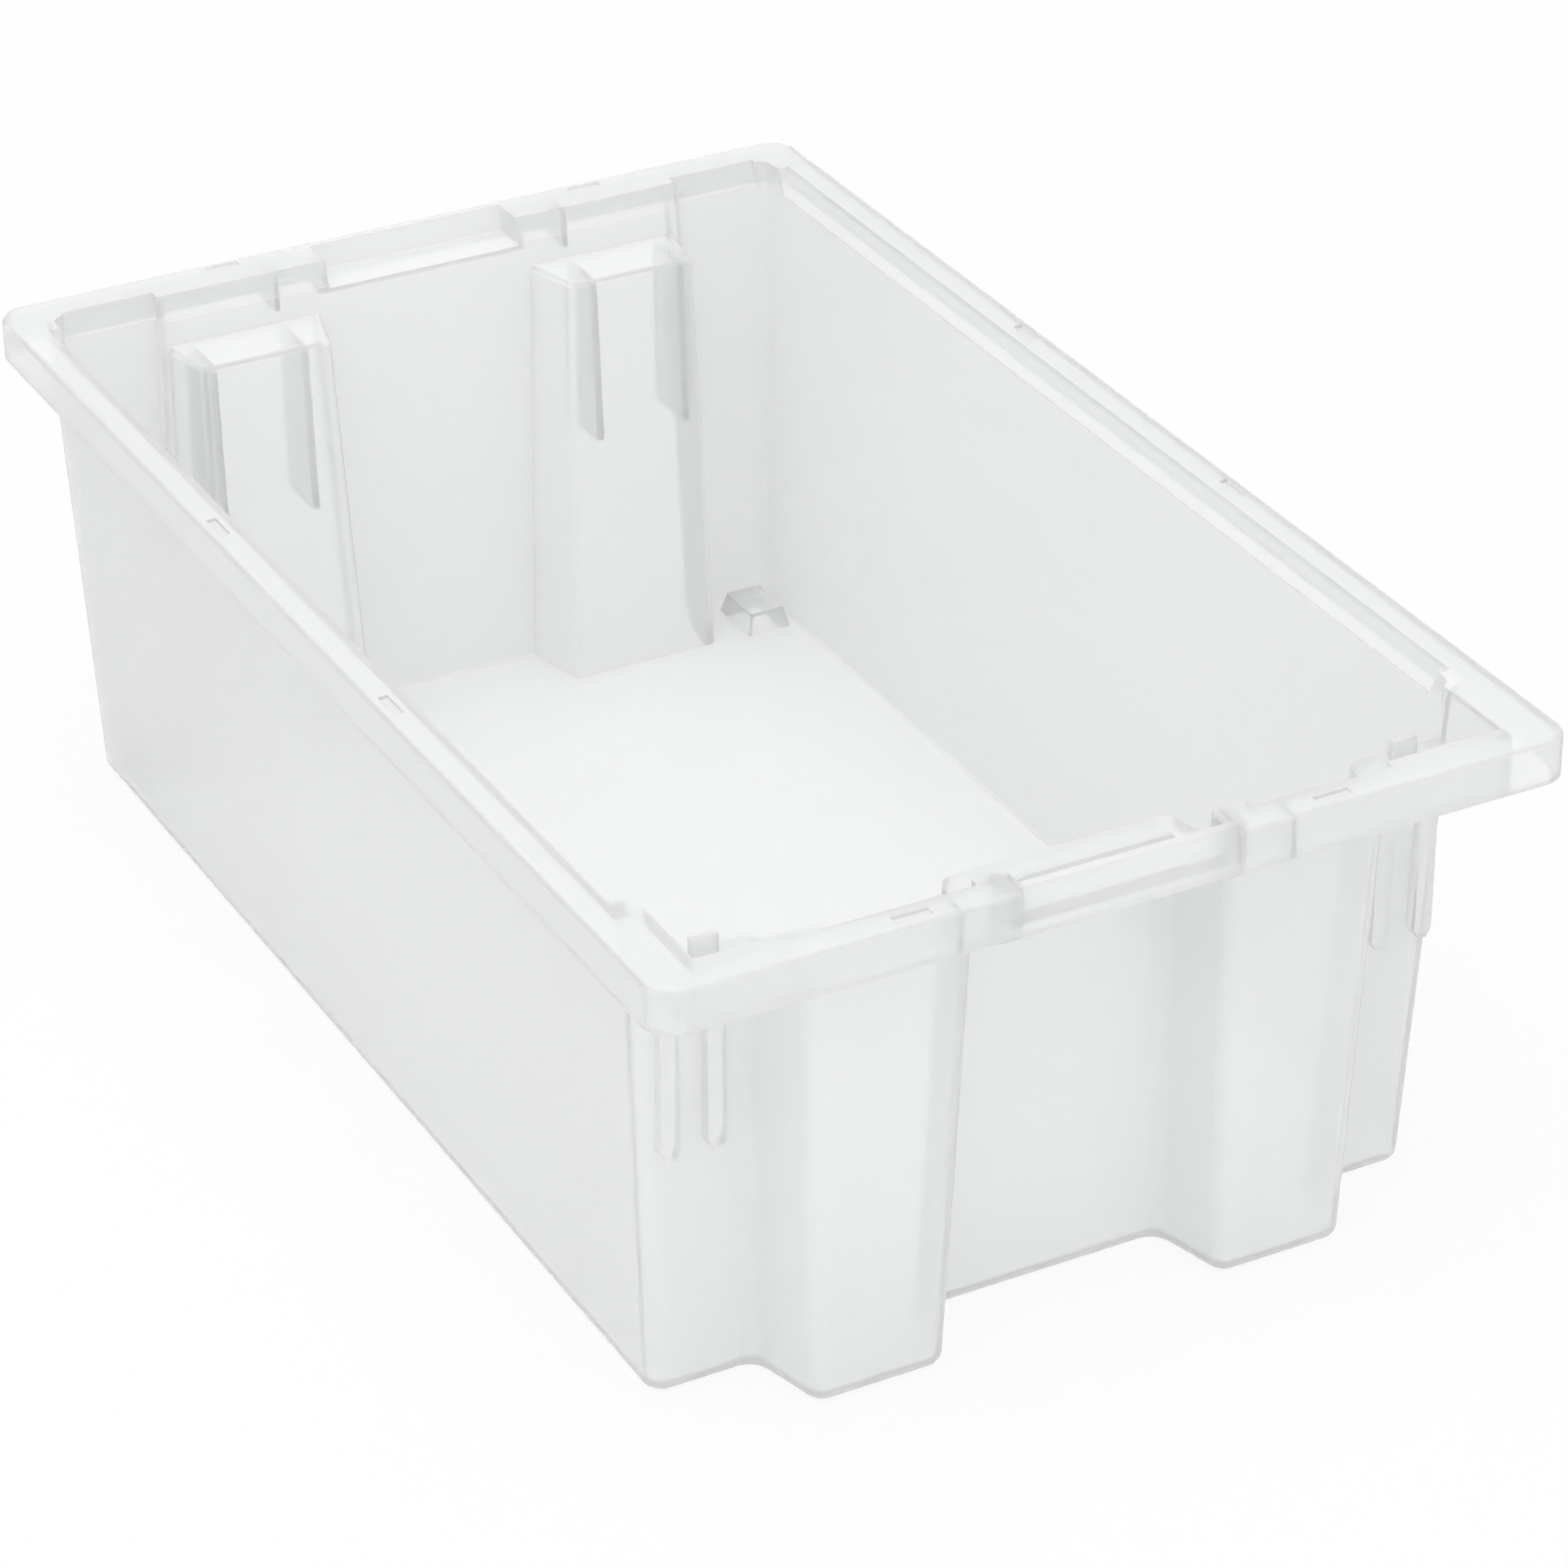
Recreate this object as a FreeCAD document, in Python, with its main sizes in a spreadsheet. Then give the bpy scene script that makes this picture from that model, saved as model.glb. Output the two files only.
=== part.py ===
import FreeCAD, Part
import os
import Sketcher
from FreeCAD import Vector

# Stack and nest tote, moulded as one piece. X is the width, Y the length, Z is up.
# The end with the two outward feet is on -Y (near), the end with the two pillars is on +Y (far).
# The origin is the middle of the footprint, on the plane that the tote stands on.

# Driving dimensions: name, value in millimetres (or degrees), what it is
SIZES = (
    ("rim_length", 457.2, "outside length over the rim"),
    ("rim_width", 279.4, "outside width over the rim"),
    ("tote_height", 158.8, "overall height"),
    ("wall", 2.4, "thickness of walls, ledges, fins and skirt"),
    ("floor_thick", 2.6, "thickness of the floor"),
    ("draft_angle", 2.4, "draft of all walls, degrees"),
    ("rim_drop", 13.5, "height of the rim skirt"),
    ("flange_thick", 2.6, "thickness of the rim flange"),
    ("rim_corner", 9.0, "radius of the rim corners in plan"),
    ("rim_edge", 2.0, "rounding of the rim's top outer edge"),
    ("base_inset", 18.0, "base of the sides and of the far corners, in from the rim"),
    ("far_step", 4.0, "how far the middle of the far wall steps in"),
    ("far_step_half", 95.4, "half width of the stepped middle at the base"),
    ("corner_round", 6.0, "radius of the upright outside corners"),
    ("base_round", 4.0, "radius of the bottom edge"),
    ("cavity_round", 4.0, "radius of the upright corners inside"),
    ("floor_round", 1.6, "radius between floor and walls"),
    ("foot_depth", 24.8, "how far a foot stands out of the near wall"),
    ("foot_clearance", 0.8, "gap from a foot to the far wall of the tote that it stands on"),
    ("foot_inner", 44.3, "inner edge of a foot's front at the base"),
    ("foot_outer", 83.9, "outer edge of a foot's front at the base"),
    ("foot_splay", 6.4, "how much a foot widens toward the wall, each side"),
    ("ledge_drop", 16.5, "stacking ledges below the rim's top"),
    ("pillar_inner", 42.4, "inner edge of a pillar's front at the ledge"),
    ("pillar_outer", 86.2, "outer edge of a pillar's front at the ledge"),
    ("pillar_front_inset", 38.5, "pillar front at the ledge, in from the rim"),
    ("pillar_inner_splay", 5.6, "widening toward the far wall, inner side"),
    ("pillar_outer_splay", 3.4, "widening toward the far wall, outer side"),
    ("pillar_inner_run", 5.6, "extra width at the base, inner side"),
    ("pillar_outer_run", 2.6, "extra width at the base, outer side"),
    ("pillar_front_run", 7.4, "extra depth at the base"),
    ("pillar_round", 3.0, "radius of the pillar's edges"),
    ("recess_half", 123.0, "half width between the posts of the near ledge"),
    ("recess_back_inset", 12.1, "back of the near ledge, in from the rim"),
    ("recess_step", 4.2, "how far the middle of that back steps in"),
    ("lead_side", 3.9, "width of the lead-in on the long sides"),
    ("lead_far", 2.3, "width of the lead-in on the far end"),
    ("lead_foot", 5.7, "width of the lead-in over a foot"),
    ("lead_height", 8.0, "height of the lead-in"),
    ("notch_half", 33.5, "half width of the grip notch in each end"),
    ("notch_drop", 8.8, "depth of the grip notch"),
    ("notch_wall", 3.6, "thickness of the end strip at the far notch"),
    ("near_strip", 5.2, "thickness of the end strip at the near notch"),
    ("near_strip_lean", 2.6, "how far the near strip leans in at the top"),
    ("web_at", 50.8, "web inside the skirt and inner fin of a pillar, from the middle"),
    ("web_thick", 1.8, "thickness of a web"),
    ("fin_outer_at", 82.0, "outer fin inside a pillar, from the middle"),
    ("fin_foot", 85.0, "lower end of the fins inside the pillars above the base"),
    ("corner_rib_deep", 2.0, "how far an outside corner rib stands out at the rim"),
    ("corner_rib_wide", 5.6, "width of an outside corner rib"),
    ("corner_rib_first", 101.5, "first corner rib, from the middle"),
    ("corner_rib_pitch", 14.0, "spacing of the corner ribs"),
    ("corner_rib_foot", 81.0, "lower end of the corner ribs above the base"),
    ("lip_half", 26.0, "half length of the lip on the near ledge"),
    ("lip_tall", 8.4, "height of that lip"),
    ("lip_thick", 2.2, "thickness of that lip"),
    ("lip_round", 5.0, "radius of the lip's upper ends"),
    ("lip_clearance", 0.9, "gap from the lip to the far wall of a tote stacked on it"),
    ("tab_inner", 104.0, "inner edge of a locating tab"),
    ("tab_wide", 8.0, "width of a locating tab"),
    ("tab_thick", 2.2, "thickness of a locating tab"),
    ("tab_tall", 6.0, "height of a locating tab"),
    ("tab_at", 192.5, "locating tab, from the middle"),
    ("shoe_inner", 100.0, "inner edge of a hollow shoe on the floor"),
    ("shoe_outer", 117.0, "outer edge of a hollow shoe on the floor"),
    ("shoe_near", 181.0, "near edge of a shoe, from the middle"),
    ("shoe_far", 203.0, "far edge of a shoe, from the middle"),
    ("shoe_tall", 9.6, "top of a shoe above the base"),
    ("shoe_taper", 14.0, "slope of a shoe's sides, degrees"),
    ("shoe_skin", 2.0, "thickness of a shoe's skin"),
    ("slot_long", 11.0, "length of a lid slot in the rim"),
    ("slot_wide", 3.0, "width of a lid slot"),
    ("slot_deep", 1.0, "depth of a lid slot"),
    ("side_slot_at", 60.0, "lid slots on the long sides, from the middle"),
    ("end_slot_at", 64.0, "lid slots on the ends, from the middle"),
    ("slot_inset", 4.2, "lid slots, in from the rim's outside"),
)

doc = FreeCAD.newDocument("tote")
sheet = doc.addObject("Spreadsheet::Sheet", "Sizes")
for row, (name, value, note) in enumerate(SIZES, 1):
    sheet.set(f"A{row}", name)
    sheet.set(f"B{row}", str(value))
    sheet.set(f"C{row}", note)
    sheet.setAlias(f"B{row}", name)
doc.recompute()

tote = doc.addObject("PartDesign::Body", "Tote")
tote.Label = "tote"

# Expressions that several features share
TOP = "Sizes.tote_height"
LEDGE = "(Sizes.tote_height - Sizes.ledge_drop)"
SLOPE = "tan(Sizes.draft_angle * 1 deg)"
HALF_LONG = "Sizes.rim_length / 2"
HALF_WIDE = "Sizes.rim_width / 2"
SIDE = "(Sizes.rim_width / 2 - Sizes.base_inset)"
FAR = "(Sizes.rim_length / 2 - Sizes.base_inset)"
FAR_MID = f"({FAR} - Sizes.far_step)"
FOOT = f"({FAR_MID} + {LEDGE} * {SLOPE} - Sizes.wall - Sizes.foot_clearance)"
NEAR = f"({FOOT} - Sizes.foot_depth)"


def amount(expression):
    """The value of an expression in the sheet's names"""
    found = sheet.evalExpression(expression)
    return float(getattr(found, "Value", found))


def origin_plane(role):
    return next(item for item in tote.Origin.OriginFeatures if item.Role == role)


def mirrored(corners):
    """Corners of the +X half, listed from near to far, made into the whole outline"""
    return list(corners) + [(f"-({x})", y) for x, y in reversed(corners)]


def paired(*outlines):
    """Outlines on the +X side with their mirror images on the -X side"""
    return list(outlines) + [[(f"-({x})", y) for x, y in corners] for corners in outlines]


def block(x0, x1, y0, y1):
    return [(x0, y0), (x1, y0), (x1, y1), (x0, y1)]


def draw(name, outlines, level="0", role="XY_Plane"):
    """Closed outlines of straight lines on an origin plane, moved along its normal to a level"""
    sketch = tote.newObject("Sketcher::SketchObject", name)
    sketch.AttachmentSupport = [(origin_plane(role), "")]
    sketch.MapMode = "FlatFace"
    sketch.setExpression("AttachmentOffset.Base.z", level)
    for corners in outlines:
        first = sketch.GeometryCount
        count = len(corners)
        places = [(amount(x), amount(y)) for x, y in corners]
        for index, (x, y) in enumerate(places):
            ahead = places[(index + 1) % count]
            sketch.addGeometry(Part.LineSegment(Vector(x, y, 0), Vector(ahead[0], ahead[1], 0)))
        for index in range(count):
            ahead = first + (index + 1) % count
            sketch.addConstraint(Sketcher.Constraint("Coincident", first + index, 2, ahead, 1))
        for index, (place, corner) in enumerate(zip(places, corners), first):
            for kind, value, expression in zip(("DistanceX", "DistanceY"), place, corner):
                number = sketch.addConstraint(Sketcher.Constraint(kind, -1, 1, index, 1, value))
                sketch.setExpression(f"Constraints[{number}]", expression)
    sketch.Visibility = False
    return sketch


def grow(kind, name, sketch, length, taper=None, with_normal=True):
    """A Pad or a Pocket of a sketch; one that changes no volume is an error"""
    before = tote.Tip.Shape.Volume if tote.Tip else 0
    feature = tote.newObject(f"PartDesign::{kind}", name)
    feature.Profile = sketch
    feature.setExpression("Length", length)
    if taper:
        feature.setExpression("TaperAngle", taper)
    feature.Reversed = with_normal == (kind == "Pocket")
    doc.recompute()
    if abs(feature.Shape.Volume - before) < 0.5:
        raise ValueError(f"{name} changed nothing")
    return feature


def blend(kind, name, lower, upper):
    """A loft, added or cut, between two sketches with the same number of corners"""
    before = tote.Tip.Shape.Volume
    feature = tote.newObject(f"PartDesign::{kind}", name)
    feature.Profile = lower
    feature.Sections = [upper]
    feature.Ruled = True
    doc.recompute()
    if abs(feature.Shape.Volume - before) < 0.5:
        raise ValueError(f"{name} changed nothing")
    return feature


def soften(name, radius, chosen):
    """A Fillet on the edges of the last feature that the function picks"""
    base = tote.Tip
    names = [f"Edge{number}" for number, edge in enumerate(base.Shape.Edges, 1) if chosen(edge)]
    if not names:
        raise ValueError(f"{name} found no edges")
    fillet = tote.newObject("PartDesign::Fillet", name)
    fillet.Base = (base, names)
    fillet.setExpression("Radius", radius)
    doc.recompute()
    if not fillet.isValid():
        raise ValueError(f"{name} could not be made")
    return fillet


def middle(edge):
    return edge.valueAt((edge.FirstParameter + edge.LastParameter) / 2)


def upright(edge):
    """Whether an edge is straight and nearly vertical"""
    if len(edge.Vertexes) < 2:
        return False
    run = edge.Vertexes[1].Point - edge.Vertexes[0].Point
    return abs(run.z) > 0.9 * edge.Length and run.Length > 0.999 * edge.Length


def flat_at(edge, height):
    """Whether a whole edge lies at one height"""
    box = edge.BoundBox
    return abs(box.ZMin - height) < 0.01 and abs(box.ZMax - height) < 0.01


def make_rim():
    # A flange with a skirt: a block with rounded corners, hollowed from below
    skirt_foot = "Sizes.tote_height - Sizes.rim_drop"
    outline = block(f"-{HALF_WIDE}", HALF_WIDE, f"-{HALF_LONG}", HALF_LONG)
    grow("Pad", "RimBlock", draw("RimOutline", [outline], skirt_foot), "Sizes.rim_drop")
    wide = f"({HALF_WIDE} - Sizes.wall)"
    long = f"({HALF_LONG} - Sizes.wall)"
    outline = block(f"-{wide}", wide, f"-{long}", long)
    hollow = draw("RimHollowOutline", [outline], skirt_foot)
    grow("Pocket", "RimHollow", hollow, "Sizes.rim_drop - Sizes.flange_thick")
    side = amount(wide)
    outside = amount(HALF_WIDE)

    def inner_corner(edge):
        return upright(edge) and abs(middle(edge).x) < side + 0.01

    def outer_corner(edge):
        return upright(edge) and abs(middle(edge).x) > outside - 0.01

    soften("RimHollowCorners", "Sizes.rim_corner - Sizes.wall", inner_corner)
    soften("RimCorners", "Sizes.rim_corner", outer_corner)
    height = amount(TOP)
    soften("RimTopEdge", "Sizes.rim_edge", lambda edge: flat_at(edge, height))


def shell_outline(growth):
    """The outline of the walls with all faces moved out by one amount"""
    lean = "(Sizes.foot_splay / Sizes.foot_depth)"
    shift = f"({growth}) * (sqrt(1 + {lean} ^ 2) - {lean})"
    near = f"-({NEAR} + ({growth}))"
    front = f"-({FOOT} + ({growth}))"
    half = [
        (f"Sizes.foot_inner - Sizes.foot_splay - {shift}", near),
        (f"Sizes.foot_inner - {shift}", front),
        (f"Sizes.foot_outer + {shift}", front),
        (f"Sizes.foot_outer + Sizes.foot_splay + {shift}", near),
        (f"{SIDE} + ({growth})", near),
        (f"{SIDE} + ({growth})", f"{FAR} + ({growth})"),
        (f"Sizes.far_step_half - ({growth})", f"{FAR} + ({growth})"),
        (f"Sizes.far_step_half - ({growth})", f"{FAR_MID} + ({growth})"),
    ]
    return mirrored(half)


def make_walls():
    # The outside of the walls with the two feet, widening upward by the draft
    sketch = draw("WallOutline", [shell_outline("0")])
    height = "Sizes.tote_height - Sizes.flange_thick / 2"
    grow("Pad", "WallBlock", sketch, height, taper="Sizes.draft_angle")
    skirt_foot = amount("Sizes.tote_height - Sizes.rim_drop")
    step_low = amount(f"Sizes.far_step_half - {TOP} * {SLOPE}") - 1
    step_high = amount("Sizes.far_step_half") + 1

    def corner_of_walls(edge):
        place = middle(edge)
        at_step = place.y > 0 and step_low < abs(place.x) < step_high
        return upright(edge) and edge.BoundBox.ZMin < skirt_foot - 1 and not at_step

    soften("WallCorners", "Sizes.corner_round", corner_of_walls)
    soften("BottomEdge", "Sizes.base_round", lambda edge: flat_at(edge, 0))


def make_near_ledge_block():
    # Solid for the raised back of the stacking ledge, above the near wall
    back = f"({HALF_LONG} - Sizes.recess_back_inset + Sizes.wall)"
    step = "Sizes.notch_half - Sizes.wall"
    half = [
        (step, f"-({back} - Sizes.recess_step)"),
        (step, f"-{back}"),
        ("Sizes.recess_half + Sizes.wall", f"-{back}"),
        ("Sizes.recess_half + Sizes.wall", f"-{NEAR}"),
    ]
    sketch = draw("NearLedgeOutline", [mirrored(half)], f"{LEDGE} - Sizes.wall")
    height = "Sizes.ledge_drop + Sizes.wall - Sizes.flange_thick / 2"
    grow("Pad", "NearLedgeBlock", sketch, height)


def make_lead_in_backing():
    # The walls flare out under the flange, so that the lead-ins keep the wall's thickness
    start = f"{TOP} - Sizes.lead_height - 1"
    height = "Sizes.lead_height + 1 - Sizes.flange_thick / 2"
    edge = f"{SIDE} + ({start}) * {SLOPE}"
    outline = block(f"{edge} - Sizes.wall", edge, f"-{NEAR}", f"{FAR_MID}")
    sketch = draw("SideFlareOutline", paired(outline), start)
    grow("Pad", "SideFlare", sketch, height, taper="atan(Sizes.lead_side / Sizes.lead_height)")
    edge = f"{FOOT} + ({start}) * {SLOPE}"
    flare = "(Sizes.lead_height + 1) * Sizes.lead_foot / Sizes.lead_height"
    profile = [
        (f"-({edge} - Sizes.wall)", start),
        (f"-({edge})", start),
        (f"-({edge} + {flare})", TOP),
        (f"-({edge} - Sizes.wall)", TOP),
    ]
    inner = "(Sizes.foot_inner - Sizes.wall)"
    outer = "(Sizes.foot_outer + Sizes.wall)"
    for name, start in (("Right", inner), ("Left", f"-{outer}")):
        sketch = draw(f"FootFlare{name}Profile", [profile], start, "YZ_Plane")
        grow("Pad", f"FootFlare{name}", sketch, f"{outer} - {inner}")


def make_notch_blocks():
    # Solid under the grip notches, one in each end
    wide = "(Sizes.notch_half + Sizes.wall)"
    low = f"{TOP} - Sizes.notch_drop - Sizes.wall"
    edge = f"({HALF_LONG} - Sizes.wall / 2)"
    near_back = f"({HALF_LONG} - Sizes.recess_back_inset - Sizes.recess_step)"
    far_back = f"{FAR_MID} + {LEDGE} * {SLOPE} - Sizes.wall / 2"
    near = block(f"-{wide}", wide, f"-{edge}", f"-{near_back}")
    far = block(f"-{wide}", wide, far_back, edge)
    height = "Sizes.notch_drop + Sizes.wall - Sizes.flange_thick / 2"
    grow("Pad", "NotchBlocks", draw("NotchBlockOutline", [near, far], low), height)


def make_webs():
    # Thin webs between skirt and wall, two in each end
    skirt_foot = "Sizes.tote_height - Sizes.rim_drop"
    inner = "Sizes.web_at - Sizes.web_thick / 2"
    outer = "Sizes.web_at + Sizes.web_thick / 2"
    edge = f"({HALF_LONG} - Sizes.wall / 2)"
    near = block(inner, outer, f"-{edge}", f"-{FOOT}")
    far = block(inner, outer, f"{FAR_MID} + {LEDGE} * {SLOPE} - Sizes.wall / 2", edge)
    sketch = draw("WebOutline", paired(near, far), skirt_foot)
    grow("Pad", "Webs", sketch, "Sizes.rim_drop - Sizes.flange_thick / 2")


def make_cavity():
    # The inside of walls and feet, from the top down to the floor
    growth = f"{TOP} * {SLOPE} - Sizes.wall"
    sketch = draw("CavityOutline", [shell_outline(growth)], TOP)
    depth = "Sizes.tote_height - Sizes.floor_thick"
    grow("Pocket", "Cavity", sketch, depth, taper="-Sizes.draft_angle", with_normal=False)
    floor = amount("Sizes.floor_thick")
    step_low = amount(f"Sizes.far_step_half - {TOP} * {SLOPE}") - 1
    step_high = amount("Sizes.far_step_half + Sizes.wall") + 1

    def corner_of_cavity(edge):
        place = middle(edge)
        at_step = place.y > 0 and step_low < abs(place.x) < step_high
        return upright(edge) and abs(edge.BoundBox.ZMin - floor) < 0.01 and not at_step

    soften("CavityCorners", "Sizes.cavity_round", corner_of_cavity)
    soften("FloorEdge", "Sizes.floor_round", lambda edge: flat_at(edge, floor))


def make_near_ledge():
    # The cavity widens above the near wall: its top is the ledge that a turned tote stands on
    back = f"({HALF_LONG} - Sizes.recess_back_inset)"
    half = [
        ("Sizes.notch_half", f"-({back} - Sizes.recess_step)"),
        ("Sizes.notch_half", f"-{back}"),
        ("Sizes.recess_half", f"-{back}"),
        ("Sizes.recess_half", f"-({NEAR} - Sizes.wall)"),
    ]
    sketch = draw("NearLedge", [mirrored(half)], TOP)
    grow("Pocket", "NearLedgeRecess", sketch, "Sizes.ledge_drop", with_normal=False)


def make_lead_ins():
    # Sloped upper edges that guide a nested tote
    edge = f"({SIDE} + {TOP} * {SLOPE} - Sizes.wall)"
    inside = f"{edge} - 3 * Sizes.lead_side"
    outline = block(inside, f"{edge} + Sizes.lead_side", f"-({NEAR} - Sizes.wall)", FAR_MID)
    sketch = draw("SideLeadOutline", paired(outline), TOP)
    slant = "-atan(Sizes.lead_side / Sizes.lead_height)"
    grow("Pocket", "SideLeadIn", sketch, "Sizes.lead_height", taper=slant, with_normal=False)
    low = f"{TOP} - Sizes.lead_height"
    edge = f"({FAR_MID} + {TOP} * {SLOPE} - Sizes.wall)"
    profile = [
        (f"{edge} - Sizes.wall", low),
        (edge, low),
        (f"{edge} + Sizes.lead_far", TOP),
        (f"{edge} - Sizes.wall", TOP),
    ]
    half = f"(Sizes.far_step_half - {TOP} * {SLOPE} + Sizes.wall)"
    sketch = draw("FarLeadProfile", [profile], f"-{half}", "YZ_Plane")
    grow("Pocket", "FarLeadIn", sketch, f"2 * {half}")
    profile = [(f"{y} + Sizes.far_step", z) for y, z in profile]
    run = f"({SIDE} + {TOP} * {SLOPE} - Sizes.wall - Sizes.cavity_round - {half})"
    for name, start in (("Right", half), ("Left", f"-({half} + {run})")):
        sketch = draw(f"FarCornerLead{name}Profile", [profile], start, "YZ_Plane")
        grow("Pocket", f"FarCornerLead{name}", sketch, run)
    edge = f"({FOOT} + {TOP} * {SLOPE} - Sizes.wall)"
    profile = [
        (f"-({edge} - Sizes.wall)", low),
        (f"-{edge}", low),
        (f"-({edge} + Sizes.lead_foot)", TOP),
        (f"-({edge} - Sizes.wall)", TOP),
    ]
    inner = "(Sizes.foot_inner - Sizes.wall)"
    outer = "(Sizes.foot_outer + Sizes.wall)"
    for name, start in (("Right", inner), ("Left", f"-{outer}")):
        sketch = draw(f"FootLead{name}Profile", [profile], start, "YZ_Plane")
        grow("Pocket", f"FootLead{name}", sketch, f"{outer} - {inner}")


def pillar_outline(side, skin, at_base):
    """Corners of a pillar in plan, or of the channel inside it when there is a skin"""
    inner = "Sizes.pillar_inner"
    outer = "Sizes.pillar_outer"
    front = f"({HALF_LONG} - Sizes.pillar_front_inset)"
    wall_line = f"({FAR_MID} + {LEDGE} * {SLOPE} - Sizes.wall / 2)"
    if at_base:
        inner = f"({inner} - Sizes.pillar_inner_run)"
        outer = f"({outer} + Sizes.pillar_outer_run)"
        front = f"({front} - Sizes.pillar_front_run)"
        wall_line = f"({FAR_MID} - Sizes.wall / 2)"
    corners = [
        (f"{inner} - Sizes.pillar_inner_splay + {skin}", wall_line),
        (f"{inner} + {skin}", f"{front} + {skin}"),
        (f"{outer} - {skin}", f"{front} + {skin}"),
        (f"{outer} + Sizes.pillar_outer_splay - {skin}", wall_line),
    ]
    if skin != "0":
        corners = [(corners[0][0], HALF_LONG)] + corners + [(corners[3][0], HALF_LONG)]
    return [(f"{side} * ({x})", y) for x, y in corners]


def make_pillars():
    # Two pillars on the far wall, each with a ledge on top for a foot
    for side, name in ((1, "Right"), (-1, "Left")):
        lower = draw(f"Pillar{name}Base", [pillar_outline(side, "0", True)], "Sizes.floor_thick / 2")
        upper = draw(f"Pillar{name}Ledge", [pillar_outline(side, "0", False)], LEDGE)
        blend("AdditiveLoft", f"Pillar{name}", lower, upper)
    floor = amount("Sizes.floor_thick")
    ledge = amount(LEDGE)
    front = amount(f"{HALF_LONG} - Sizes.pillar_front_inset")
    deep = amount(f"{FAR_MID} + {LEDGE} * {SLOPE} - Sizes.wall") - 1

    def front_corner(edge):
        through_floor = edge.BoundBox.ZMin < floor + 1 < edge.BoundBox.ZMax
        return upright(edge) and through_floor and 0 < middle(edge).y < front + 1

    def ledge_edge(edge):
        return flat_at(edge, ledge) and 0 < middle(edge).y < deep

    soften("PillarCorners", "Sizes.pillar_round", front_corner)
    soften("PillarLedgeEdge", "Sizes.pillar_round * 0.7", ledge_edge)


def make_channels():
    # The pillars are hollow: channels open downward and to the outside, into which a lower pillar nests
    for side, name in ((1, "Right"), (-1, "Left")):
        lower = draw(f"Channel{name}Base", [pillar_outline(side, "Sizes.wall", True)])
        outline = pillar_outline(side, "Sizes.wall", False)
        upper = draw(f"Channel{name}Top", [outline], f"{LEDGE} - Sizes.wall")
        blend("SubtractiveLoft", f"Channel{name}", lower, upper)


def make_fins():
    # Two upright fins inside each pillar, down from its ledge
    top = f"({LEDGE} - Sizes.wall / 2)"
    ledge_front = f"({HALF_LONG} - Sizes.pillar_front_inset + Sizes.wall / 2)"
    run = f"Sizes.pillar_front_run / {LEDGE}"
    back = f"({FAR_MID} + Sizes.fin_foot * {SLOPE} - Sizes.wall / 2)"
    profile = [
        (f"{ledge_front} - ({LEDGE} - Sizes.fin_foot) * {run}", "Sizes.fin_foot"),
        (back, "Sizes.fin_foot"),
        (back, top),
        (ledge_front, top),
    ]
    for side, place in (("Inner", "Sizes.web_at"), ("Outer", "Sizes.fin_outer_at")):
        for sign, name in (("", "Right"), ("-", "Left")):
            level = f"{sign}{place} - Sizes.wall / 2"
            sketch = draw(f"{side}Fin{name}Profile", [profile], level, "YZ_Plane")
            grow("Pad", f"{side}Fin{name}", sketch, "Sizes.wall")


def make_corner_ribs():
    # Two short ribs outside each near corner, down from the rim
    face = f"({NEAR} + {LEDGE} * {SLOPE} + Sizes.corner_rib_deep)"
    point = "Sizes.corner_rib_wide / 2"
    foot = "Sizes.corner_rib_foot"
    outlines = []
    for start in ("Sizes.corner_rib_first", "(Sizes.corner_rib_first + Sizes.corner_rib_pitch)"):
        end = f"{start} + Sizes.corner_rib_wide"
        outlines.append([
            (f"{start} + {point} / 2", foot),
            (f"{end} - {point} / 2", foot),
            (end, f"{foot} + {point}"),
            (end, f"{LEDGE} - Sizes.wall / 2"),
            (start, f"{LEDGE} - Sizes.wall / 2"),
            (start, f"{foot} + {point}"),
        ])
    sketch = draw("CornerRibOutline", paired(*outlines), face, "XZ_Plane")
    depth = f"Sizes.corner_rib_deep + ({LEDGE} - {foot}) * {SLOPE} + Sizes.wall / 2"
    grow("Pad", "CornerRibs", sketch, depth, with_normal=False)


def make_notches():
    # Grip notches, one in each end; the strip at the near notch leans in
    near_start = f"({HALF_LONG} - Sizes.recess_back_inset - Sizes.recess_step - Sizes.wall)"
    near_end = f"({HALF_LONG} - Sizes.near_strip)"
    near = block("-Sizes.notch_half", "Sizes.notch_half", f"-{near_end}", f"-{near_start}")
    far = block("-Sizes.notch_half", "Sizes.notch_half", FAR_MID, f"{HALF_LONG} - Sizes.notch_wall")
    grow("Pocket", "Notches", draw("NotchOutline", [near, far], TOP), "Sizes.notch_drop", with_normal=False)
    profile = [
        (f"-{HALF_LONG}", "Sizes.tote_height - Sizes.rim_drop"),
        (f"-({HALF_LONG} - Sizes.near_strip_lean)", TOP),
        (f"-({HALF_LONG} + 1)", TOP),
        (f"-({HALF_LONG} + 1)", "Sizes.tote_height - Sizes.rim_drop"),
    ]
    sketch = draw("StripLeanProfile", [profile], "-Sizes.notch_half", "YZ_Plane")
    grow("Pocket", "StripLean", sketch, "2 * Sizes.notch_half")


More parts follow.
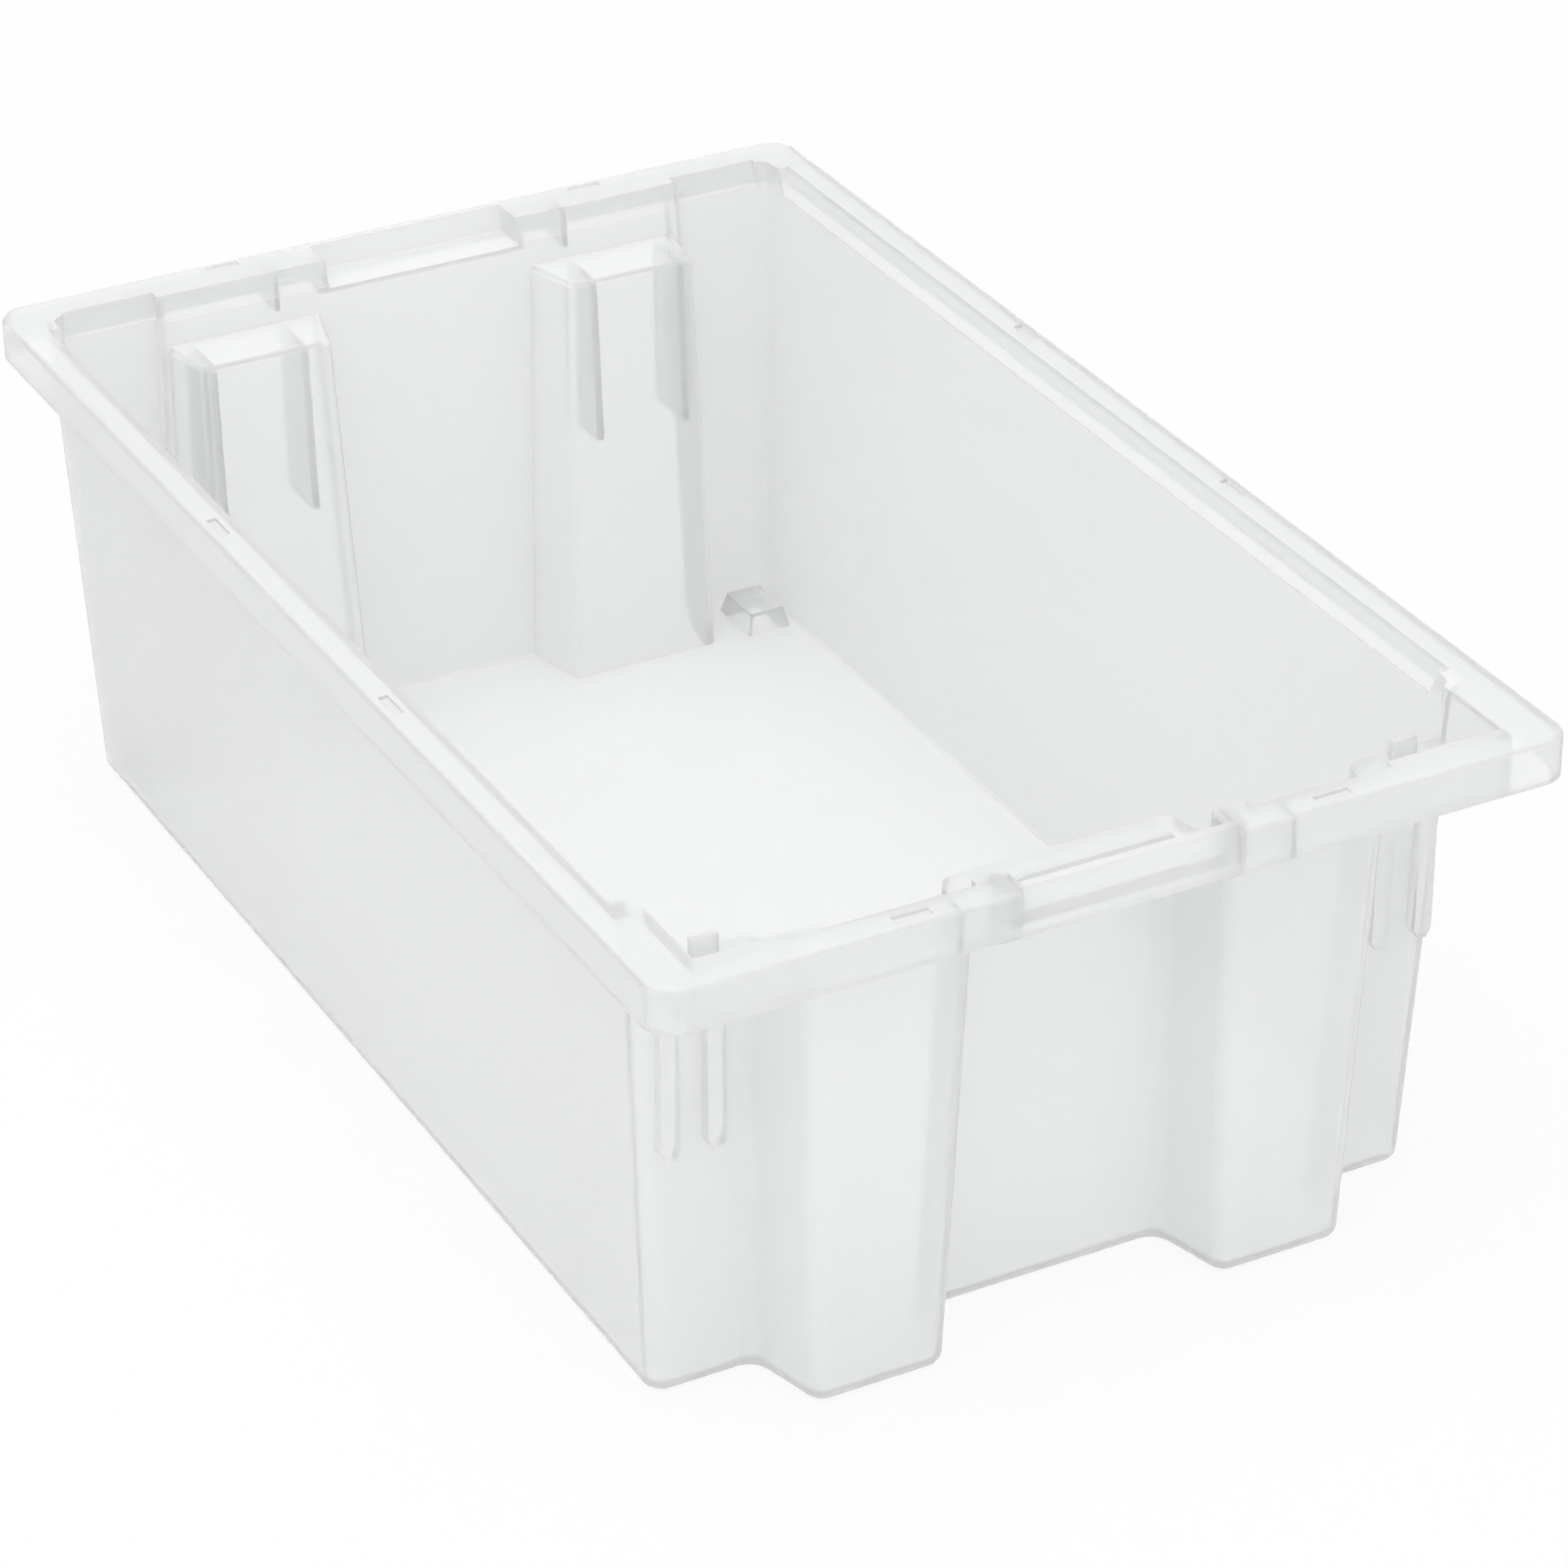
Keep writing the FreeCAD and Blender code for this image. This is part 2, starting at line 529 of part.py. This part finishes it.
def make_lip_and_tabs():
    # What keeps a turned tote in place on the near ledge
    face = f"({FAR_MID} + Sizes.lip_clearance)"
    low = f"{LEDGE} - Sizes.wall / 2"
    outline = block("-Sizes.lip_half", "Sizes.lip_half", low, f"{LEDGE} + Sizes.lip_tall")
    sketch = draw("LipOutline", [outline], face, "XZ_Plane")
    grow("Pad", "Lip", sketch, "Sizes.lip_thick")
    top = amount(f"{LEDGE} + Sizes.lip_tall")

    def lip_end(edge):
        box = edge.BoundBox
        return flat_at(edge, top) and box.YMax < 0 and box.XLength < 0.01

    soften("LipEnds", "Sizes.lip_round", lip_end)
    outline = block("Sizes.tab_inner", "Sizes.tab_inner + Sizes.tab_wide", low, f"{LEDGE} + Sizes.tab_tall")
    sketch = draw("TabOutline", paired(outline), "Sizes.tab_at - Sizes.tab_thick / 2", "XZ_Plane")
    grow("Pad", "Tabs", sketch, "Sizes.tab_thick")


def make_shoes():
    # Hollow shoes on the floor, into which the locating tabs of a lower tote reach
    outline = block("Sizes.shoe_inner", "Sizes.shoe_outer", "Sizes.shoe_near", "Sizes.shoe_far")
    sketch = draw("ShoeOutline", paired(outline))
    grow("Pad", "Shoes", sketch, "Sizes.shoe_tall", taper="-Sizes.shoe_taper")
    skin = "Sizes.shoe_skin"
    across = (f"Sizes.shoe_inner + {skin}", f"Sizes.shoe_outer - {skin}")
    along = (f"Sizes.shoe_near + {skin}", f"Sizes.shoe_far - {skin}")
    sketch = draw("ShoeHollowOutline", paired(block(*across, *along)))
    grow("Pocket", "ShoeHollows", sketch, f"Sizes.shoe_tall - {skin}", taper="-Sizes.shoe_taper")


def make_lid_slots():
    # Shallow slots for a lid in the flange, two on each side and end
    half = "Sizes.slot_long / 2"
    reach = "Sizes.slot_wide / 2"
    side = f"({HALF_WIDE} - Sizes.slot_inset)"
    end = f"({HALF_LONG} - Sizes.slot_inset)"
    outlines = []
    for sign in ("", "-"):
        place = f"{sign}Sizes.side_slot_at"
        across = (f"{side} - {reach}", f"{side} + {reach}")
        outlines.append(block(*across, f"{place} - {half}", f"{place} + {half}"))
        place = f"{sign}{end}"
        across = (f"Sizes.end_slot_at - {half}", f"Sizes.end_slot_at + {half}")
        outlines.append(block(*across, f"{place} - {reach}", f"{place} + {reach}"))
    sketch = draw("LidSlotOutline", paired(*outlines), TOP)
    grow("Pocket", "LidSlots", sketch, "Sizes.slot_deep", with_normal=False)


make_rim()
make_walls()
make_near_ledge_block()
make_lead_in_backing()
make_notch_blocks()
make_webs()
make_cavity()
make_near_ledge()
make_lead_ins()
make_pillars()
make_channels()
make_fins()
make_corner_ribs()
make_notches()
make_lip_and_tabs()
make_shoes()
make_lid_slots()

doc.recompute()
for item in doc.Objects:
    if "Invalid" in item.State or "Error" in item.State:
        raise ValueError(f"{item.Label} failed: {item.State}")
shape = tote.Shape
if shape.isNull() or not shape.isValid() or len(shape.Solids) != 1:
    raise ValueError("tote is not one valid solid")
tote.Placement = FreeCAD.Placement(Vector(0, 0, 0), FreeCAD.Rotation(Vector(0, 0, 1), 0))
doc.recompute()

os.makedirs("parts", exist_ok=True)
tote.Shape.exportStep(f"parts/{tote.Label}.step")
box = shape.optimalBoundingBox()
print("tote", [round(side, 2) for side in (box.XLength, box.YLength, box.ZLength)])
print("volume", round(shape.Volume / 1000, 1), "cm3")
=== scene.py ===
import math

import bpy
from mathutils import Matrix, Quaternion, Vector


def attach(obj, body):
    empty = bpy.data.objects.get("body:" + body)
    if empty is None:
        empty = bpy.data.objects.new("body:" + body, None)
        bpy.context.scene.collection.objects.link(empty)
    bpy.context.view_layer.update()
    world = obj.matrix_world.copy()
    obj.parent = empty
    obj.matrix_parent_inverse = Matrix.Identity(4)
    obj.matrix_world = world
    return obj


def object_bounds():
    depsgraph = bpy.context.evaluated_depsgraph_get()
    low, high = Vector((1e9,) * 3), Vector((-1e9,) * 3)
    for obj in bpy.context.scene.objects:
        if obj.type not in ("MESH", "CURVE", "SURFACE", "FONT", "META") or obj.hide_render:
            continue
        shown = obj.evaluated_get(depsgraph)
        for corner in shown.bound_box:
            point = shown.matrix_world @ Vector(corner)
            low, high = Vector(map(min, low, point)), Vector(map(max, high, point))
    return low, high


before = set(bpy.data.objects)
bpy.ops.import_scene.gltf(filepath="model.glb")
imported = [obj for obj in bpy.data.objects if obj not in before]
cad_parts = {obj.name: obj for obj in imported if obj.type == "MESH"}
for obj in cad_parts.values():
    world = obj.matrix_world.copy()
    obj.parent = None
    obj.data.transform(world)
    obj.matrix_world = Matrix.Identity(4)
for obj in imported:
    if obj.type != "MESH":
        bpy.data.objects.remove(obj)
cadLow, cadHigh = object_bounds()
scene = bpy.context.scene
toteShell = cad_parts["tote"]
toteSize = [round((high - low) * 1000, 1) for low, high in zip(cadLow, cadHigh)]
print("frame loaded, tote is", toteSize, "mm")


def blankMaterial(name):
    material = bpy.data.materials.new(name)
    material.use_nodes = True
    material.node_tree.nodes.clear()
    return material, material.node_tree


def addNode(tree, kind, **settings):
    # settings are node properties, or sockets where the name starts with in_
    node = tree.nodes.new(kind)
    for key, value in settings.items():
        if key.startswith("in_"):
            node.inputs[key[3:].replace("_", " ")].default_value = value
        else:
            setattr(node, key, value)
    return node


def calculate(tree, operation, first, second):
    # a Math node, fed by sockets or numbers
    node = addNode(tree, "ShaderNodeMath", operation=operation)
    for slot, value in enumerate((first, second)):
        if isinstance(value, (int, float)):
            node.inputs[slot].default_value = value
        else:
            tree.links.new(value, node.inputs[slot])
    return node.outputs[0]


# The tote's plastic: frosted natural polypropylene, satin and partly see-through
plasticSettings = {
    "colour": (0.975, 0.978, 0.98, 1.0),
    "cloudColour": (0.96, 0.965, 0.968, 1.0),  # in the faint clouds of the moulding
    "cloudSize": 0.09,
    "cloudDetail": 3.0,
    "cloudRoughness": 0.55,
    "cloudSpan": (0.35, 0.65),  # the part of the noise that drives the roughness
    "roughness": (0.2, 0.26),
    "seeThrough": 0.6,  # share of light that goes through as in ground glass
    "index": 1.2,  # under the real 1.49, so that less light is trapped in the walls
    "grainSize": 0.0011,
    "grainDetail": 2.0,
    "grainStrength": 0.5,
    "grainHeight": 0.00003,
}


def makeFrostedPlastic(settings):
    material, tree = blankMaterial("frostedPlastic")
    place = addNode(tree, "ShaderNodeTexCoord").outputs["Object"]
    clouds = addNode(
        tree,
        "ShaderNodeTexNoise",
        in_Scale=1 / settings["cloudSize"],
        in_Detail=settings["cloudDetail"],
        in_Roughness=settings["cloudRoughness"],
    )
    tree.links.new(place, clouds.inputs["Vector"])
    # a colour mix has its two colours in sockets 6 and 7 and its result in 2
    tint = addNode(tree, "ShaderNodeMix", data_type="RGBA")
    tint.inputs[6].default_value = settings["cloudColour"]
    tint.inputs[7].default_value = settings["colour"]
    tree.links.new(clouds.outputs["Fac"], tint.inputs[0])
    gloss = addNode(
        tree,
        "ShaderNodeMapRange",
        in_From_Min=settings["cloudSpan"][0],
        in_From_Max=settings["cloudSpan"][1],
        in_To_Min=settings["roughness"][0],
        in_To_Max=settings["roughness"][1],
    )
    tree.links.new(clouds.outputs["Fac"], gloss.inputs["Value"])
    grain = addNode(
        tree,
        "ShaderNodeTexNoise",
        in_Scale=1 / settings["grainSize"],
        in_Detail=settings["grainDetail"],
    )
    tree.links.new(place, grain.inputs["Vector"])
    bump = addNode(
        tree,
        "ShaderNodeBump",
        in_Strength=settings["grainStrength"],
        in_Distance=settings["grainHeight"],
    )
    tree.links.new(grain.outputs["Fac"], bump.inputs["Height"])
    shell = addNode(
        tree,
        "ShaderNodeBsdfPrincipled",
        in_IOR=settings["index"],
        in_Transmission_Weight=settings["seeThrough"],
    )
    tree.links.new(tint.outputs[2], shell.inputs["Base Color"])
    tree.links.new(gloss.outputs["Result"], shell.inputs["Roughness"])
    tree.links.new(bump.outputs["Normal"], shell.inputs["Normal"])
    out = addNode(tree, "ShaderNodeOutputMaterial")
    tree.links.new(shell.outputs[0], out.inputs["Surface"])
    return material


frostedPlastic = makeFrostedPlastic(plasticSettings)
for materialSlot in toteShell.material_slots:
    materialSlot.material = frostedPlastic
print("plastic on the shell")


# The rounded posts at the ends of the near notch, up from the ledge to the rim's top
postSettings = {
    "inner": 0.031,  # from the tote's middle
    "wide": 0.006,
    "front": 0.2241,  # from the tote's middle, inside the notch's strip
    "back": 0.215,
    "foot": 0.1418,  # just under the ledge's top
    "topGap": 0.0003,  # below the rim's top
    "round": 0.0024,
    "topRound": 0.0006,
    "arcSteps": 8,
}


def postOutline(settings, inset):
    # front corners square, back corners rounded
    low = settings["inner"] + inset
    high = settings["inner"] + settings["wide"] - inset
    front, back = -settings["front"] + inset, -settings["back"] - inset
    radius = settings["round"] - inset
    outline = [(low, front), (high, front)]
    for centre, start in ((high - radius, 0), (low + radius, 90)):
        for step in range(settings["arcSteps"] + 1):
            angle = math.radians(start + 90 * step / settings["arcSteps"])
            x = centre + radius * math.cos(angle)
            outline.append((x, back - radius + radius * math.sin(angle)))
    return outline


def makePost(name, side, settings, material):
    top = cadHigh[2] - settings["topGap"]
    chamfer = settings["topRound"]
    rings = [(settings["foot"], 0.0), (top - chamfer, 0.0), (top, chamfer)]
    points = []
    for level, inset in rings:
        points += [(side * x, y, level) for x, y in postOutline(settings, inset)]
    count = len(points) // len(rings)
    topStart = len(points) - count
    faces = [tuple(reversed(range(count))), tuple(range(topStart, len(points)))]
    for low in range(0, topStart, count):
        high = low + count
        for index in range(count):
            ahead = (index + 1) % count
            faces.append((low + index, low + ahead, high + ahead, high + index))
    if side < 0:
        faces = [tuple(reversed(face)) for face in faces]
    mesh = bpy.data.meshes.new(name)
    mesh.from_pydata(points, [], faces)
    mesh.materials.append(material)
    post = bpy.data.objects.new(name, mesh)
    scene.collection.objects.link(post)
    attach(post, "root")


makePost("notchPostRight", 1, postSettings, frostedPlastic)
makePost("notchPostLeft", -1, postSettings, frostedPlastic)
print("posts at the near notch")


# Studio: pale floor, even light from all round, a large soft lamp above
# and a low one at the near end
studioSettings = {
    "floorSize": 14.0,
    "floorDrop": 0.0003,  # keeps the floor's plane apart from the tote's base
    "floorColour": (0.9, 0.9, 0.9, 1.0),
    "floorWhite": 0.86,  # how far the floor goes to plain white where it is looked at
    "skyLevel": 0.73,  # the light that the white sky gives
    "aim": (0.0, 0.0, 0.08),
    "lamps": {
        "topLamp": {"size": (2.6, 2.6), "power": 28.0, "place": (-0.5, -0.3, 2.3)},
        "nearLamp": {"size": (1.6, 0.5), "power": 2.4, "place": (0.15, -1.9, 0.3)},
    },
    "maxBounces": 16,  # enough for light that goes through several walls
    "diffuseBounces": 8,
    "throughBounces": 14,
}


def seenRays(tree):
    # 1 for rays from the eye and for those that mirror or pass through
    path = addNode(tree, "ShaderNodeLightPath")
    both = calculate(tree, "MAXIMUM", path.outputs["Is Camera Ray"], path.outputs["Is Glossy Ray"])
    return calculate(tree, "MAXIMUM", both, path.outputs["Is Transmission Ray"])


def makeFloor(settings):
    half = settings["floorSize"] / 2
    mesh = bpy.data.meshes.new("studioFloor")
    level = -settings["floorDrop"]
    around = ((-half, -half), (half, -half), (half, half), (-half, half))
    mesh.from_pydata([(x, y, level) for x, y in around], [], [(0, 1, 2, 3)])
    floor = bpy.data.objects.new("studioFloor", mesh)
    scene.collection.objects.link(floor)
    material, tree = blankMaterial("paleFloor")
    matt = addNode(tree, "ShaderNodeBsdfDiffuse", in_Color=settings["floorColour"])
    white = addNode(tree, "ShaderNodeEmission", in_Strength=1.0)
    mix = addNode(tree, "ShaderNodeMixShader")
    share = calculate(tree, "MULTIPLY", seenRays(tree), settings["floorWhite"])
    tree.links.new(share, mix.inputs[0])
    tree.links.new(matt.outputs[0], mix.inputs[1])
    tree.links.new(white.outputs[0], mix.inputs[2])
    out = addNode(tree, "ShaderNodeOutputMaterial")
    tree.links.new(mix.outputs[0], out.inputs["Surface"])
    mesh.materials.append(material)


def makeSky(settings):
    world = bpy.data.worlds.new("studioSky")
    scene.world = world
    world.use_nodes = True
    tree = world.node_tree
    tree.nodes.clear()
    sky = addNode(tree, "ShaderNodeBackground", in_Color=(1.0, 1.0, 1.0, 1.0))
    extra = calculate(tree, "MULTIPLY", seenRays(tree), 1 - settings["skyLevel"])
    strength = calculate(tree, "ADD", extra, settings["skyLevel"])
    tree.links.new(strength, sky.inputs["Strength"])
    out = addNode(tree, "ShaderNodeOutputWorld")
    tree.links.new(sky.outputs[0], out.inputs["Surface"])


def makeLamp(name, settings, aim):
    data = bpy.data.lights.new(name, "AREA")
    data.shape = "RECTANGLE"
    data.size, data.size_y = settings["size"]
    data.energy = settings["power"]
    lamp = bpy.data.objects.new(name, data)
    scene.collection.objects.link(lamp)
    lamp.location = settings["place"]
    towards = Vector(aim) - lamp.location
    lamp.rotation_euler = towards.to_track_quat("-Z", "Y").to_euler()


makeFloor(studioSettings)
makeSky(studioSettings)
for lampName, lampSettings in studioSettings["lamps"].items():
    makeLamp(lampName, lampSettings, studioSettings["aim"])
scene.view_settings.view_transform = "Standard"
scene.cycles.max_bounces = studioSettings["maxBounces"]
scene.cycles.diffuse_bounces = studioSettings["diffuseBounces"]
scene.cycles.transmission_bounces = studioSettings["throughBounces"]
print("studio ready")


# Camera: from the tote's near left, about thirty degrees above the floor
cameraSettings = {
    "place": (-0.6707, -1.303, 0.9162),
    "direction": (0.40399, 0.76464, -0.50211),
    "roll": -0.39,  # degrees
    "lens": 129.8,
    "sensor": 36.0,
    "nearest": 0.05,  # nothing closer than this is seen
}


def makeCamera(settings):
    data = bpy.data.cameras.new("photoCamera")
    data.lens = settings["lens"]
    data.sensor_width = settings["sensor"]
    data.clip_start = settings["nearest"]
    camera = bpy.data.objects.new("photoCamera", data)
    scene.collection.objects.link(camera)
    turn = Vector(settings["direction"]).to_track_quat("-Z", "Y")
    roll = Quaternion((0, 0, 1), math.radians(settings["roll"]))
    camera.rotation_mode = "QUATERNION"
    camera.rotation_quaternion = turn @ roll
    camera.location = settings["place"]
    scene.camera = camera


makeCamera(cameraSettings)
print("camera set")
